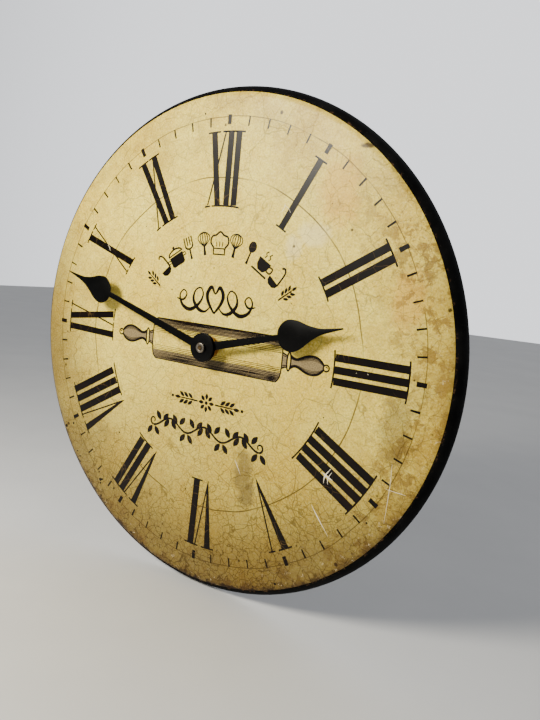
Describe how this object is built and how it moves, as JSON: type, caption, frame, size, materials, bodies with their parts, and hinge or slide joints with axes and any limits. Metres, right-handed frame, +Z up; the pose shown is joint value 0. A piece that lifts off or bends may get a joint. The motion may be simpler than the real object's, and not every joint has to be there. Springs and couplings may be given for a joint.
{
  "type": "wall clock",
  "caption": "Round wall clock with Roman dial, spade hands and a battery quartz movement with geared hands behind a flat board.",
  "frame": {"origin": "the point where the hand axis meets the flat back of the movement, which is the plane of the wall", "axes": "+Z up, +X to the right as the dial is read, -Y out of the dial towards the reader; the hand axis is along Y"},
  "size_m": [0.34, 0.033, 0.34],
  "materials": {
    "black_paint": "fibreboard painted satin black",
    "aged_print": "aged cream print under a satin varnish",
    "case_plastic": "fine moulded texture",
    "white_plastic": "natural acetal",
    "brass": "turned",
    "rubber": "matte",
    "circuit_board": "solder resist over laminate",
    "bright_steel": "nickel plated",
    "lamination_steel": "stamped",
    "copper_winding": "enamelled copper wire",
    "magnet": "sintered",
    "hand_lacquer": "aluminium sheet lacquered satin black",
    "battery_sleeve": null
  },
  "bodies": {
    "body": {"face_board": "black_paint", "dial_print": "aged_print", "movement_case": "case_plastic", "movement_back_cover": "case_plastic", "gear_bridge": "white_plastic", "threaded_bush": "brass", "rubber_washer": "rubber", "mounting_washer": "brass", "mounting_nut": "brass", "circuit_board": "circuit_board", "quartz_crystal": "bright_steel", "chip_blob": "case_plastic", "coil_bobbin": "white_plastic", "coil_winding": "copper_winding", "coil_core": "lamination_steel", "stator": "lamination_steel", "battery_contact_negative": "bright_steel", "battery_contact_positive": "bright_steel"},
    "minute_work": {"minute_arbor": "brass", "minute_hand": "hand_lacquer", "hand_nut": "bright_steel"},
    "hour_work": {"hour_wheel": "white_plastic", "hour_hand": "hand_lacquer"},
    "motion_work": {"motion_wheel": "white_plastic"},
    "knob": {"setting_knob": "white_plastic"},
    "second_stage": {"second_wheel": "white_plastic"},
    "third_stage": {"third_wheel": "white_plastic"},
    "center_stage": {"center_wheel": "brass"},
    "intermediate_stage": {"intermediate_wheel": "white_plastic"},
    "rotor_stage": {"rotor": "magnet"},
    "cell": {"battery": "battery_sleeve"}
  },
  "joints": [
    {"name": "minute_turn", "type": "hinge", "parent": "body", "child": "minute_work", "pos_m": [0, 0, 0], "axis": [0, 1, 0], "continuous": true},
    {"name": "hour_turn", "type": "hinge", "parent": "body", "child": "hour_work", "pos_m": [0, 0, 0], "axis": [0, 1, 0], "continuous": true},
    {"name": "motion_wheel_turn", "type": "hinge", "parent": "body", "child": "motion_work", "pos_m": [-0.00849, 0, 0.00849], "axis": [0, 1, 0], "continuous": true},
    {"name": "setting_knob_turn", "type": "hinge", "parent": "body", "child": "knob", "pos_m": [-0.01936, 0, 0.01356], "axis": [0, 1, 0], "continuous": true},
    {"name": "second_wheel_turn", "type": "hinge", "parent": "body", "child": "second_stage", "pos_m": [0, 0, 0], "axis": [0, 1, 0], "continuous": true},
    {"name": "third_wheel_turn", "type": "hinge", "parent": "body", "child": "third_stage", "pos_m": [0.00769, 0, 0.00769], "axis": [0, 1, 0], "continuous": true},
    {"name": "center_wheel_turn", "type": "hinge", "parent": "body", "child": "center_stage", "pos_m": [0, 0, 0], "axis": [0, 1, 0], "continuous": true},
    {"name": "intermediate_wheel_turn", "type": "hinge", "parent": "body", "child": "intermediate_stage", "pos_m": [0.01027, 0, -0.00334], "axis": [0, 1, 0], "continuous": true},
    {"name": "rotor_turn", "type": "hinge", "parent": "body", "child": "rotor_stage", "pos_m": [0.01816, 0, -0.00046], "axis": [0, 1, 0], "continuous": true},
    {"name": "battery_removal", "type": "slide", "parent": "body", "child": "cell", "axis": [0, 1, 0], "range_m": [0, 0.03]}
  ],
  "couplings": [
    {"joint": "hour_turn", "follows": "minute_turn", "ratio": 0.083333},
    {"joint": "motion_wheel_turn", "follows": "minute_turn", "ratio": -0.33333},
    {"joint": "setting_knob_turn", "follows": "minute_turn", "ratio": 1},
    {"joint": "third_wheel_turn", "follows": "second_wheel_turn", "ratio": -0.13333},
    {"joint": "center_wheel_turn", "follows": "second_wheel_turn", "ratio": 0.016667},
    {"joint": "intermediate_wheel_turn", "follows": "second_wheel_turn", "ratio": -5},
    {"joint": "rotor_turn", "follows": "second_wheel_turn", "ratio": 30}
  ]
}
